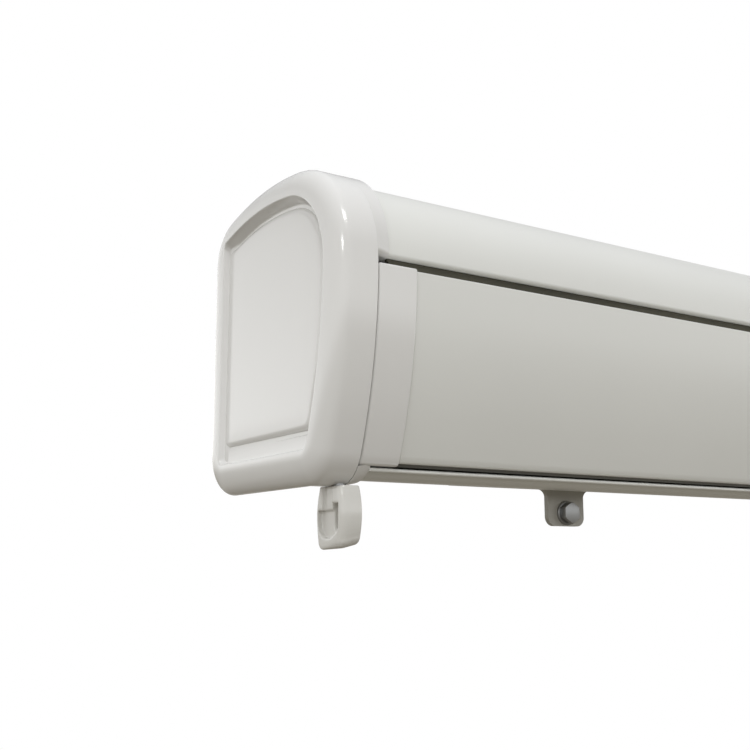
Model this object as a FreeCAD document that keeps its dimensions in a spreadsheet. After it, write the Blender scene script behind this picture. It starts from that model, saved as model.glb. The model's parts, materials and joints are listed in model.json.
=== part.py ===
import FreeCAD, Part
import Sketcher
import math
import os

# Full-cassette folding-arm awning, 1.9 m wide, stored closed.
# Case coordinates: X along the case, -Y out from the wall, +Z up; y = 0 is the back of the case and
# z = 0 the bottom of its end caps. Each finished sub-part is then placed so that the row's origin is
# the middle of the four wall holes, on the wall.

V = FreeCAD.Vector
doc = FreeCAD.newDocument("awning")
sheet = doc.addObject("Spreadsheet::Sheet", "sizes")

# alias: value in mm or degrees, what it is
DRIVING = {
    "halfLength": (950, "half of the overall length over the end caps"),
    "capWidth": (20, "end cap, along X"),
    "collarWidth": (7.4, "end frame, along X, proud of the shell"),
    "shellInset": (3.2, "shell surface below the end frame's outline"),
    "shellWall": (2.4, "shell and floor wall"),
    "topRise": (149.4, "height of the outline"),
    "topRadius": (185, "crown of the outline"),
    "topCentre": (-62, "y of the crown's highest point"),
    "frontDepth": (136, "depth of the outline"),
    "frontRadius": (248, "bow of the front"),
    "frontCentreHeight": (95, "height of the foremost point"),
    "rearTopRadius": (24, "upper rear corner"),
    "rearLowRadius": (22, "lower rear corner"),
    "frontLowRadius": (19, "lower front corner"),
    "capFillet": (8, "rounding of the end cap's outer edge"),
    "recessDepth": (5.2, "end cap's recess, below the rim"),
    "panelRise": (2.3, "raised panel in the recess"),
    "panelMargin": (4.2, "groove around the raised panel, top and front"),
    "panelRear": (17.8, "raised panel's rear edge from the case back"),
    "panelLow": (26.7, "raised panel's bottom edge"),
    "recessInset": (13.5, "rim width at the top and front"),
    "recessRear": (17, "rim width at the back"),
    "recessLow": (15.1, "rim width at the bottom"),
    "capWall": (3, "moulding wall of the end cap"),
    "gapTop": (98, "height of the shell's front lip"),
    "railTop": (93.4, "height of the front panel's top edge"),
    "railBottom": (9.8, "height of the front panel's bottom edge"),
    "railInset": (1.6, "front panel below the outline"),
    "railCapWidth": (21, "front panel's end piece, along X"),
    "railCapTop": (94.3, "height of the front panel's end piece"),
    "railDepthBack": (106, "distance of the front rail's rear wall from the case back"),
    "railWall": (2.2, "front rail wall"),
    "floorLip": (7.8, "height of the floor's front lip"),
    "beadRadius": (0.9, "bead along the floor's front lip"),
    "underStart": (100, "front edge of the raised underside, from the case back"),
    "underLow": (8.1, "height of the raised underside at its front edge"),
    "underHigh": (17, "height of the raised underside at the case back"),
    "skirtWidth": (8, "end cap's skirt beside the raised underside, along X"),
    "rollerY": (-70, "roller axis from the case back"),
    "rollerZ": (106, "roller axis height"),
    "rollerRadius": (25, "roller tube"),
    "rollerWall": (1.8, "roller tube wall"),
    "fabricRadius": (30.5, "cloth wound on the roller"),
    "armLength": (740, "pivot to pivot, each arm"),
    "shoulderX": (875, "shoulder pivot from the middle"),
    "shoulderY": (-45, "shoulder pivot from the case back"),
    "wristY": (-89, "wrist pivot from the case back"),
    "upperArmZ": (33.5, "middle height of the upper arms"),
    "foreArmZ": (57, "middle height of the forearms"),
    "armHeight": (22, "arm section, along Z"),
    "armThick": (19, "arm section, across"),
    "armWall": (2.2, "arm section wall"),
    "knuckleRadius": (14, "round end of each arm joint"),
    "pinRadius": (5, "arm pivot pins"),
    "pinGap": (0.05, "running clearance of pins, radial"),
    "bracketX": (775.5, "wall bracket from the middle"),
    "bracketWidth": (60, "wall bracket plate"),
    "plateThick": (6, "wall bracket plate"),
    "holeMiddle": (75, "middle height of the wall holes"),
    "holeSpacing": (80, "wall holes, along Z"),
    "holeRadius": (4.5, "wall holes, for 8 mm bolts"),
    "lugWidth": (25.5, "clamp lug under the case"),
    "lugY": (-80, "front face of the clamp lug"),
    "lugDrop": (13.9, "lug below the end caps"),
    "lugThick": (2.8, "clamp lug"),
    "lugCorner": (5, "lower corners of the clamp lug"),
    "boltZ": (-6.9, "height of the clamp bolt"),
    "hexFlats": (10, "hexagon head of the 6 mm bolt, across flats"),
    "hexHeight": (5.2, "head of the 6 mm bolt, with its flange"),
    "flangeRadius": (6.5, "flange under the bolt head"),
    "footThick": (4.6, "bracket foot under the case"),
    "crankX": (932.2, "crank axis from the middle"),
    "crankY": (-107.4, "crank axis from the case back"),
    "wheelRadius": (32.6, "worm wheel"),
    "wheelPocket": (1.2, "clearance pocket for the worm wheel in the end frame"),
    "wormRadius": (4.2, "worm, over its thread"),
    "spindleRadius": (2.6, "spindle of the worm"),
    "spindleEnd": (-7, "height of the spindle's lower end"),
    "eyeThick": (10.1, "crank eye, along X"),
    "eyeDrop": (27.5, "crank eye below the end caps"),
    "eyeOffset": (0.25, "crank eye's middle inward of its spindle, along X"),
}
for row, (alias, (value, words)) in enumerate(DRIVING.items(), start=1):
    sheet.set(f"A{row}", words)
    sheet.set(f"B{row}", str(value))
    sheet.setAlias(f"B{row}", alias)
doc.recompute()


def size(alias):
    return float(sheet.get(alias))


REST_LIFT = math.degrees(math.asin((size("shoulderY") - size("wristY")) / (2 * size("armLength"))))
subParts = {}


def keep(obj, label):
    """The finished object of one sub-part, under the name of its node."""
    obj.Label = label
    subParts[label] = obj
    return obj


def cell(alias):
    return f"<<sizes>>.{alias}" if alias in DRIVING else alias


sheet.Label = "sizes"


# ---------------------------------------------------------------- Part primitives and booleans
def box(name, low, high):
    b = doc.addObject("Part::Box", name)
    b.Length, b.Width, b.Height = (high[i] - low[i] for i in range(3))
    b.Placement.Base = V(*low)
    return b


def rod(name, centre, radius, length, axis="Z"):
    """A cylinder that starts at centre and runs along axis; a text radius is a cell of the sheet."""
    c = doc.addObject("Part::Cylinder", name)
    if isinstance(radius, str):
        c.setExpression("Radius", radius)
    else:
        c.Radius = radius
    if isinstance(length, str):
        c.setExpression("Height", length)
    else:
        c.Height = length
    turn = {"Z": (V(0, 0, 1), 0), "X": (V(0, 1, 0), 90), "Y": (V(1, 0, 0), -90)}[axis]
    c.Placement = FreeCAD.Placement(V(*centre), FreeCAD.Rotation(*turn))
    return c


def cut(name, base, *tools):
    for i, tool in enumerate(tools):
        c = doc.addObject("Part::Cut", f"{name}_{i}")
        c.Base, c.Tool = base, tool
        base = c
    return base


def fuse(name, *pieces):
    f = doc.addObject("Part::MultiFuse", name)
    f.Shapes = list(pieces)
    f.Refine = True
    return f


def group(name, *pieces):
    f = doc.addObject("Part::Compound", name)
    f.Links = list(pieces)
    return f


# ---------------------------------------------------------------- the case outline
def outline(inset, rear=None, low=None):
    """The case outline in (y, z), as tangent lines and arcs, inset by the given distance.

    rear and low, where given, move the back and bottom edges further in with small corners.
    """
    topC = V(0, size("topCentre"), size("topRise") - size("topRadius"))
    topR = size("topRadius") - inset
    frontC = V(0, size("frontRadius") - size("frontDepth"), size("frontCentreHeight"))
    frontR = size("frontRadius") - inset
    dy = size("frontDepth") + topC.y
    dz = frontC.z - topC.z
    full = size("topRadius")
    shoulder = (full ** 2 - dy ** 2 - dz ** 2) / (2 * (full - dy))
    shoulderC = V(0, shoulder - size("frontDepth"), frontC.z)
    backY, lowZ = -(inset if rear is None else rear), (inset if low is None else low)
    rearTop = size("rearTopRadius") - inset if rear is None else 5.0
    rearLow = size("rearLowRadius") - inset if low is None else 5.0
    frontLow = size("frontLowRadius") - inset if low is None else 6.0
    rtC = V(0, backY - rearTop, 0)
    rtC.z = topC.z + math.sqrt((topR - rearTop) ** 2 - (rtC.y - topC.y) ** 2)
    flC = V(0, 0, lowZ + frontLow)
    flC.y = frontC.y - math.sqrt((frontR - frontLow) ** 2 - (flC.z - frontC.z) ** 2)
    rlC = V(0, backY - rearLow, lowZ + rearLow)

    def on(centre, radius, degrees):
        a = math.radians(degrees)
        return centre + V(0, math.cos(a), math.sin(a)) * radius

    def angle(a, b):
        return math.degrees(math.atan2(b.z - a.z, b.y - a.y))

    def arc(centre, radius, a0, a1):
        middle = on(centre, radius, (a0 + a1) / 2)
        return Part.Arc(on(centre, radius, a0), middle, on(centre, radius, a1)).toShape()

    aRear = angle(topC, rtC)
    aShoulder = angle(topC, shoulderC)
    aLow = angle(frontC, flC) % 360
    edges = [
        arc(rtC, rearTop, 0, aRear),
        arc(topC, topR, aRear, aShoulder),
        arc(shoulderC, shoulder - inset, aShoulder, 180),
        arc(frontC, frontR, 180, aLow),
        arc(flC, frontLow, aLow, 270),
        Part.makeLine(on(flC, frontLow, 270), on(rlC, rearLow, 270)),
        arc(rlC, rearLow, 270, 360),
        Part.makeLine(on(rlC, rearLow, 0), on(rtC, rearTop, 0)),
    ]
    return edges


def slab(edges, x0, x1):
    """A solid that fills the outline from x0 to x1."""
    face = Part.Face(Part.Wire(edges))
    face.translate(V(x0, 0, 0))
    return face.extrude(V(x1 - x0, 0, 0))


def block(x0, x1, y0, y1, z0, z1):
    return Part.makeBox(x1 - x0, y1 - y0, z1 - z0, V(x0, y0, z0))


def under_height(y):
    """Height of the raised underside, which climbs from behind the front lip to the wall."""
    climb = (size("underHigh") - size("underLow")) / size("underStart")
    return size("underLow") + climb * (y + size("underStart"))


def below(x0, x1, lift=0.0):
    """The space under the raised underside; lift moves its two faces into the case."""
    front, rear, depth = -size("underStart") - lift, 10.0, -30.0
    corners = [
        V(x0, front, depth),
        V(x0, rear, depth),
        V(x0, rear, under_height(rear) + lift),
        V(x0, front, under_height(front) + lift),
    ]
    face = Part.Face(Part.makePolygon(corners + corners[:1]))
    return face.extrude(V(x1 - x0, 0, 0))


def made(label, shape):
    """A sub-part whose section is cut from the case outline."""
    if len(shape.Solids) == 1:
        shape = shape.Solids[0]
    obj = doc.addObject("Part::Feature", label)
    obj.Shape = shape
    return keep(obj, label)


def flip(shape, side):
    """Shapes are drawn for the left end (side -1); the right end is its mirror image."""
    return shape if side < 0 else shape.mirror(V(0, 0, 0), V(1, 0, 0))


SIDES = (("left", -1), ("right", 1))
HALF = size("halfLength")
FRAME_OUT = -(HALF - size("capWidth"))
FRAME_IN = FRAME_OUT + size("collarWidth")
RAIL_IN = FRAME_OUT + size("railCapWidth")
ROLLER = V(0, size("rollerY"), size("rollerZ"))
FRONT_FAR = -size("frontDepth") - 10


def shell_and_floor():
    """Two extrusions: the back and top with the front lip, and the floor under the arms."""
    inset, wall = size("shellInset"), size("shellWall")
    x1 = -FRAME_IN
    outer = slab(outline(inset), -x1, x1).cut(below(-x1 - 1, x1 + 1))
    inner = slab(outline(inset + wall), -x1 - 1, x1 + 1).cut(below(-x1 - 2, x1 + 2, wall))
    ring = outer.cut(inner)
    joint = -46
    frontZone = block(-x1 - 1, x1 + 1, FRONT_FAR, joint, -5, size("floorLip"))
    stepZone = block(-x1 - 1, x1 + 1, -size("underStart") - wall - 1, joint, -5, 20)
    window = block(-x1 - 1, x1 + 1, FRONT_FAR, -95, size("floorLip"), size("gapTop"))
    shell = ring.cut(window).cut(block(-x1 - 1, x1 + 1, FRONT_FAR, joint + 0.2, -5, 60))
    # the lip turns in above the front panel and carries the seal
    lipY = -size("frontDepth") + inset
    lip = block(-x1, x1, lipY + 0.3, lipY + 9, size("gapTop") + 0.2, size("gapTop") + 2.4)
    made("case_shell", shell.fuse(lip).removeSplitter())
    floor = ring.common(frontZone.fuse(stepZone))
    lipFront = min(v.Y for v in floor.Vertexes if abs(v.Z - size("floorLip")) < 1e-6)
    centre = V(-x1, lipFront + 0.2, size("floorLip") - size("beadRadius"))
    bead = Part.makeCylinder(size("beadRadius"), 2 * x1, centre, V(1, 0, 0))
    made("case_floor", floor.fuse(bead).removeSplitter())


def end_frame(name, side):
    """Cast plate that closes the shell's end, holds the roller and stands proud as a collar."""
    plate = slab(outline(0), FRAME_OUT, FRAME_IN).cut(below(FRAME_OUT - 1, FRAME_IN + 1))
    window = block(FRAME_OUT - 1, FRAME_IN + 1, FRONT_FAR, -103, size("floorLip") + 0.2, size("gapTop"))
    plate = plate.cut(window)
    # a narrow seam between the frame's foot and the end cap, as beside the front panel's end piece
    plate = plate.cut(block(FRAME_OUT - 1, FRAME_OUT + 0.4, FRONT_FAR, -size("underStart"), -5, 8.2))
    bore = Part.makeCylinder(9, 20, V(FRAME_OUT - 2, ROLLER.y, ROLLER.z), V(1, 0, 0))
    pocketBase = V(FRAME_OUT + size("wheelPocket") - 5, ROLLER.y, ROLLER.z)
    pocket = Part.makeCylinder(34, 5, pocketBase, V(1, 0, 0))
    plate = plate.cut(bore).cut(pocket)
    for y, z in SCREW_PLACES:
        plate = plate.cut(Part.makeCylinder(2.1, 20, V(FRAME_OUT - 2, y, z), V(1, 0, 0)))
    if side < 0:
        x, y = -size("crankX"), size("crankY")
        plate = plate.cut(Part.makeCylinder(5, 22, V(x, y, ROLLER.z - 11), V(0, 0, 1)))
        plate = plate.cut(Part.makeCylinder(3, ROLLER.z + 22, V(x, y, -5), V(0, 0, 1)))
    made(f"end_frame_{name}", flip(plate, side))


SCREW_PLACES = ((-14, 30), (-14, 118), (-117, 112), (-80, 20))


def end_cap(name, side):
    """Moulded end cap: rounded rim, stepped recess, hollow behind."""
    x0 = -HALF
    body = slab(outline(0), x0, FRAME_OUT)
    outer = [e for e in body.Edges if all(abs(v.X - x0) < 1e-6 for v in e.Vertexes)]
    body = body.makeFillet(size("capFillet"), outer)
    rim, rear, low = size("recessInset"), size("recessRear"), size("recessLow")
    depth, rise, margin = size("recessDepth"), size("panelRise"), size("panelMargin")
    body = body.cut(slab(outline(rim, rear, low), x0 - 1, x0 + depth))
    edges = outline(rim + margin, size("panelRear"), size("panelLow"))
    panel = slab(edges, x0 + depth - rise, x0 + depth + 0.1)
    front = [e for e in panel.Edges if all(abs(v.X - x0 - depth + rise) < 1e-6 for v in e.Vertexes)]
    body = body.fuse(panel.makeFillet(rise * 0.6, front))
    wall = size("capWall")
    hollow = slab(outline(wall + size("capFillet") * 0.35), x0 + depth + wall, FRAME_OUT + 1)
    body = body.cut(hollow.cut(below(x0, FRAME_OUT + 2, wall)))
    body = body.cut(below(x0 + size("skirtWidth"), FRAME_OUT + 1))
    for y, z in SCREW_PLACES:
        tower = Part.makeCylinder(4.5, size("capWidth") - 6, V(x0 + 6, y, z), V(1, 0, 0))
        body = body.fuse(tower).cut(Part.makeCylinder(1.7, 12, V(FRAME_OUT - 10, y, z), V(1, 0, 0)))
    if side < 0:
        body = body.cut(Part.makeCylinder(3.0, 30, V(-size("crankX"), size("crankY"), -5), V(0, 0, 1)))
    made(f"end_cap_{name}", flip(body.removeSplitter(), side))


def cap_screws():
    """Countersunk screws through both end frames into the end caps, from inside the case."""
    screws = []
    for _, side in SIDES:
        for y, z in SCREW_PLACES:
            shank = Part.makeCylinder(1.6, 15, V(FRAME_IN - 15, y, z), V(1, 0, 0))
            head = Part.makeCylinder(3.6, 2.2, V(FRAME_IN, y, z), V(1, 0, 0))
            slot = block(FRAME_IN + 1.2, FRAME_IN + 3, y - 2.6, y + 2.6, z - 0.4, z + 0.4)
            screws.append(flip(shank.fuse(head).cut(slot).removeSplitter(), side))
    made("cap_screws", Part.makeCompound(screws))


def front_rail():
    """Lead rail: bowed face with a hollow box behind it, and two end pieces."""
    inset, wall = size("railInset"), size("railWall")
    top, bottom, back = size("railTop"), size("railBottom"), -size("railDepthBack")
    x1 = -RAIL_IN
    zone = block(-x1, x1, FRONT_FAR, back, bottom, top)
    solid = slab(outline(inset), -x1, x1).common(zone)
    inner = slab(outline(inset + wall), -x1 - 1, x1 + 1).common(
        block(-x1 - 1, x1 + 1, FRONT_FAR, back - wall, bottom + wall, top - wall))
    made("lead_rail_profile", solid.cut(inner))
    for name, side in SIDES:
        end = slab(outline(0.5), FRAME_OUT + 0.4, RAIL_IN).common(
            block(FRAME_OUT, RAIL_IN, FRONT_FAR, back - 0.5, size("floorLip") + 0.6, size("railCapTop")))
        made(f"rail_cap_{name}", flip(end, side))
    seal = block(-x1, x1, -118, -108, bottom - 1.3, bottom)
    made("rail_bottom_seal", seal)


def lip_seal():
    """Brush strip under the shell's lip."""
    y = -size("frontDepth") + size("shellInset") + 3
    reach = -FRAME_IN - 1
    made("lip_brush", block(-reach, reach, y, y + 2, size("railCapTop") + 0.5, size("gapTop") + 0.2))


# ---------------------------------------------------------------- PartDesign bodies
def sketch_on(body, name, role, wires, offset):
    """A sketch on one of the body's own origin planes.

    Each wire is a list of edges, or (x, y, radius) for a circle.
    """
    sketch = body.newObject("Sketcher::SketchObject", name)
    plane = next(f for f in body.Origin.OriginFeatures if f.Role == role)
    sketch.AttachmentSupport = [(plane, "")]
    sketch.MapMode = "FlatFace"
    sketch.AttachmentOffset = FreeCAD.Placement(V(0, 0, offset), FreeCAD.Rotation())
    for wire in wires:
        if isinstance(wire, tuple):
            x, y, radius = wire
            first = 1.0 if isinstance(radius, str) else radius
            i = sketch.addGeometry(Part.Circle(V(x, y, 0), V(0, 0, 1), first))
            number = sketch.addConstraint(Sketcher.Constraint("Radius", i, first))
            sketch.addConstraint(Sketcher.Constraint("DistanceX", i, 3, x))
            sketch.addConstraint(Sketcher.Constraint("DistanceY", i, 3, y))
            if isinstance(radius, str):
                sketch.setExpression(f"Constraints[{number}]", radius)
        else:
            for edge in wire:
                sketch.addGeometry(edge)
    return sketch


def polygon(*points):
    closed = points + points[:1]
    return [Part.LineSegment(V(*a, 0), V(*b, 0)) for a, b in zip(closed, closed[1:])]


def lug_outline(half, wide, low, high):
    """The clamp lug's outline: round lower corners, and a flare to the foot's width at the top."""
    radius, neck = size("lugCorner"), 1.8
    k = radius * (1 - math.sqrt(0.5))
    flare = wide - half
    right = [(half, neck), (half + 0.3 * flare, neck + 2.2), (wide, neck + 3.4)]
    left = [(-x, z) for x, z in right]
    return [
        Part.LineSegment(V(-half, neck, 0), V(-half, low + radius, 0)),
        Part.Arc(V(-half, low + radius, 0), V(k - half, low + k, 0), V(radius - half, low, 0)),
        Part.LineSegment(V(radius - half, low, 0), V(half - radius, low, 0)),
        Part.Arc(V(half - radius, low, 0), V(half - k, low + k, 0), V(half, low + radius, 0)),
        Part.LineSegment(V(half, low + radius, 0), V(half, neck, 0)),
        Part.Arc(*(V(*p, 0) for p in right)),
        Part.LineSegment(V(*right[2], 0), V(wide, high, 0)),
        Part.LineSegment(V(wide, high, 0), V(-wide, high, 0)),
        Part.LineSegment(V(-wide, high, 0), V(*left[2], 0)),
        Part.Arc(*(V(*p, 0) for p in reversed(left))),
    ]


def nose(radius, reach, width):
    """A round nose about the origin that runs into a straight shank, drawn in the plane."""
    half = width / 2
    x = math.sqrt(radius ** 2 - half ** 2)
    return [
        Part.Arc(V(x, half, 0), V(-radius, 0, 0), V(x, -half, 0)),
        Part.LineSegment(V(x, -half, 0), V(reach, -half, 0)),
        Part.LineSegment(V(reach, -half, 0), V(reach, half, 0)),
        Part.LineSegment(V(reach, half, 0), V(x, half, 0)),
    ]


def solid_body(label, steps, place=None):
    """A body from pads and pockets: (kind, plane role, wires, length, offset of the sketch plane).

    Every feature grows both ways from its sketch, so none can point away from the solid.
    """
    body = doc.addObject("PartDesign::Body", label)
    for i, (kind, role, wires, length, offset) in enumerate(steps):
        sketch = sketch_on(body, f"{label}_sketch{i}", role, wires, offset)
        feature = body.newObject(f"PartDesign::{kind}", f"{label}_{kind.lower()}{i}")
        feature.Profile = sketch
        feature.Midplane = True
        if isinstance(length, str):
            feature.setExpression("Length", length)
        else:
            feature.Length = length
        before = body.Shape.Volume if kind == "Pocket" else 0
        doc.recompute()
        if kind == "Pocket" and body.Shape.Volume >= before:
            raise RuntimeError(f"{label}: pocket {i} cuts nothing")
    if place is not None:
        body.Placement = place
    return keep(body, label)


# ---------------------------------------------------------------- roller and drive
def roller():
    reach = -FRAME_IN - 14
    y, z = ROLLER.y, ROLLER.z
    inside = f"{cell('rollerRadius')} - {cell('rollerWall')}"
    outer = rod("roller_outer", (-reach, y, z), cell("rollerRadius"), 2 * reach, "X")
    inner = rod("roller_inner", (-reach - 1, y, z), inside, 2 * reach + 2, "X")
    keep(cut("roller_tube_cut", outer, inner), "roller_tube")
    stubReach = HALF - 11
    for name, side in SIDES:
        plug = rod(f"plug_{name}", (reach - 30 if side > 0 else -reach, y, z), inside, 30, "X")
        stub = rod(f"stub_{name}", (reach if side > 0 else -stubReach, y, z), 6, stubReach - reach, "X")
        keep(fuse(f"roller_plug_fuse_{name}", plug, stub), f"roller_plug_{name}")
    clothHalf = size("shoulderX")
    wound = rod("cloth_outer", (-clothHalf, y, z), cell("fabricRadius"), 2 * clothHalf, "X")
    core = rod("cloth_core", (-clothHalf - 1, y, z), cell("rollerRadius"), 2 * clothHalf + 2, "X")
    keep(cut("fabric_roll_cut", wound, core), "fabric_roll")
    for name, side in SIDES:
        start = FRAME_OUT + size("wheelPocket") if side < 0 else -FRAME_IN
        long = f"{cell('collarWidth')} - {cell('wheelPocket')}"
        ring = rod(f"bush_outer_{name}", (start, y, z), 9, long, "X")
        hole = rod(f"bush_hole_{name}", (start - 1, y, z), f"6 + {cell('pinGap')}", 20, "X")
        keep(cut(f"bush_cut_{name}", ring, hole), f"roller_bush_{name}")


def drive():
    """Worm drive inside the left end cap: the wheel is on the roller's stub, the worm on the spindle."""
    radius, width, teeth, depth = size("wheelRadius"), 6.0, 40, 2.4
    x0 = -size("crankX") - width / 2
    wheel = Part.makeCylinder(radius, width, V(x0, ROLLER.y, ROLLER.z), V(1, 0, 0))
    gaps = []
    for i in range(teeth):
        gap = block(x0 - 1, x0 + width + 1, -1.1, 1.1, radius - depth, radius + 1)
        gap.rotate(V(0, 0, 0), V(1, 0, 0), 360 * (i + 0.5) / teeth)
        gap.translate(V(0, ROLLER.y, ROLLER.z))
        gaps.append(gap)
    wheel = wheel.cut(Part.makeCompound(gaps))
    wheel = wheel.cut(Part.makeCylinder(6.0, width + 2, V(x0 - 1, ROLLER.y, ROLLER.z), V(1, 0, 0)))
    made("worm_wheel", wheel)
    x, y = -size("crankX"), size("crankY")
    low, high = size("spindleEnd"), ROLLER.z + 16
    spindle = Part.makeCylinder(size("spindleRadius"), high - low, V(x, y, low), V(0, 0, 1))
    worm = Part.makeCylinder(size("wormRadius"), 16, V(x, y, ROLLER.z - 8), V(0, 0, 1))
    pitch = 2 * math.pi * radius / teeth
    for i in range(-1, 2):
        ring = Part.makeTorus(size("wormRadius"), 0.75, V(x, y, ROLLER.z + i * pitch), V(0, 0, 1))
        worm = worm.cut(ring)
    made("worm_spindle", spindle.fuse(worm).removeSplitter())
    blocks = []
    for z in (ROLLER.z - 24, ROLLER.z + 10):
        bearing = block(x - 4, FRAME_OUT, y - 7, y + 3.6, z, z + 6)
        blocks.append(bearing.cut(Part.makeCylinder(2.65, 20, V(x, y, z - 5), V(0, 0, 1))))
    made("spindle_bearings", Part.makeCompound(blocks))


def crank_eye():
    """The eye that the hand crank's hook pulls and turns, under the left end cap."""
    drop, thick = size("eyeDrop"), size("eyeThick")
    place = FreeCAD.Placement(V(-size("crankX"), size("crankY"), 0), FreeCAD.Rotation())
    across = size("eyeOffset")
    top, belly, corner = -0.3, -drop * 0.5, 4.0
    neckHalf, bellyHalf, footHalf = 8.8, 11.4, 10.0
    k = corner * (1 - math.sqrt(0.5))
    outer = [
        Part.LineSegment(V(corner - footHalf, -drop, 0), V(footHalf - corner, -drop, 0)),
        Part.LineSegment(V(neckHalf, top, 0), V(-neckHalf, top, 0)),
    ]
    for sign in (-1, 1):
        shoulder, bow = V(sign * neckHalf, top, 0), V(sign * bellyHalf, belly, 0)
        heel = V(sign * footHalf, corner - drop, 0)
        turn = V(sign * (footHalf - k), k - drop, 0)
        outer.append(Part.Arc(shoulder, bow, heel))
        outer.append(Part.Arc(heel, turn, V(sign * (footHalf - corner), -drop, 0)))

    def slot(y0, y1, high, low):
        """A slot with a round lower end."""
        middle, radius = (y0 + y1) / 2, (y1 - y0) / 2
        return [
            Part.LineSegment(V(y0, high, 0), V(y0, low + radius, 0)),
            Part.Arc(V(y0, low + radius, 0), V(middle, low, 0), V(y1, low + radius, 0)),
            Part.LineSegment(V(y1, low + radius, 0), V(y1, high, 0)),
            Part.LineSegment(V(y1, high, 0), V(y0, high, 0)),
        ]

    seat = slot(-6.6, 10.5, -10.5, -22.5)
    neck = polygon((-2.1, 1), (6.2, 1), (6.2, -11), (-2.1, -11))
    through = slot(-7.3, -0.6, -7.7, -20.3)
    inner, face = across + thick / 2, across - thick / 2
    heelCut = polygon((face, -drop), (inner + 0.1, 2.5 - drop), (inner + 0.1, -drop - 1), (face, -drop - 1))
    solid_body("crank_eye", [
        ("Pad", "YZ_Plane", [outer], cell("eyeThick"), across),
        ("Pocket", "YZ_Plane", [seat], 5.0, face),
        ("Pocket", "YZ_Plane", [neck], 2.8, face),
        ("Pocket", "YZ_Plane", [through], thick + 2, across),
        ("Pocket", "XZ_Plane", [heelCut], 30.0, 0),
        ("Pocket", "XY_Plane", [(0, 0, cell("spindleRadius"))], -2 * size("spindleEnd"), 0),
    ], place)


# ---------------------------------------------------------------- folding arms
def joint_spot(alias_y, side):
    return V(side * size("shoulderX"), size(alias_y), 0)


def arm_place(alias_y, side, height):
    """Local x runs from the outer pivot to the elbow; the two arms of a side meet there at rest."""
    lift = REST_LIFT if alias_y == "wristY" else -REST_LIFT
    turn = lift if side < 0 else 180 - lift
    base = joint_spot(alias_y, side) + V(0, 0, size(height))
    return FreeCAD.Placement(base, FreeCAD.Rotation(V(0, 0, 1), turn))


def arm(label, outer_name, elbow_name, place, outerHole):
    """One arm: a rectangular tube between two cast knuckles with spigots in its ends."""
    reach, shank, spigot = size("armLength"), 34.0, 70.0
    thick, height, wall, round_ = (size(a) for a in ("armThick", "armHeight", "armWall", "knuckleRadius"))
    outer = box(f"{label}_outer", (shank, -thick / 2, -height / 2), (reach - shank, thick / 2, height / 2))
    inner = box(f"{label}_inner", (shank - 1, wall - thick / 2, wall - height / 2),
                (reach - shank + 1, thick / 2 - wall, height / 2 - wall))
    tube = cut(f"{label}_cut", outer, inner)
    tube.Placement = place
    keep(tube, label)
    tongueHalf = thick / 2 - wall - 0.1
    tongueHeight = height - 2 * wall - 0.2

    def knuckle(name, hole, at):
        tongue = polygon((shank - 6, -tongueHalf), (spigot, -tongueHalf), (spigot, tongueHalf),
                         (shank - 6, tongueHalf))
        solid_body(name, [
            ("Pad", "XY_Plane", [nose(round_, shank, thick)], cell("armHeight"), 0),
            ("Pad", "XY_Plane", [tongue], tongueHeight, 0),
            ("Pocket", "XY_Plane", [(0, 0, hole)], height + 4, 0),
        ], at)

    knuckle(outer_name, outerHole, place)
    elbow = FreeCAD.Placement(V(reach, 0, 0), FreeCAD.Rotation(V(0, 0, 1), 180))
    knuckle(elbow_name, f"{cell('pinRadius')} + {cell('pinGap')}", place.multiply(elbow))


def pin(label, spot, low, high, headRadius=7.5, head=1.6):
    """A pivot pin with a head at each end, standing on the given spot."""
    shank = rod(f"{label}_shank", (spot.x, spot.y, low), cell("pinRadius"), high - low)
    foot = rod(f"{label}_foot", (spot.x, spot.y, low - head), headRadius, head)
    cap = rod(f"{label}_cap", (spot.x, spot.y, high), headRadius, head)
    return keep(fuse(f"{label}_fuse", foot, shank, cap), label)


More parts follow.
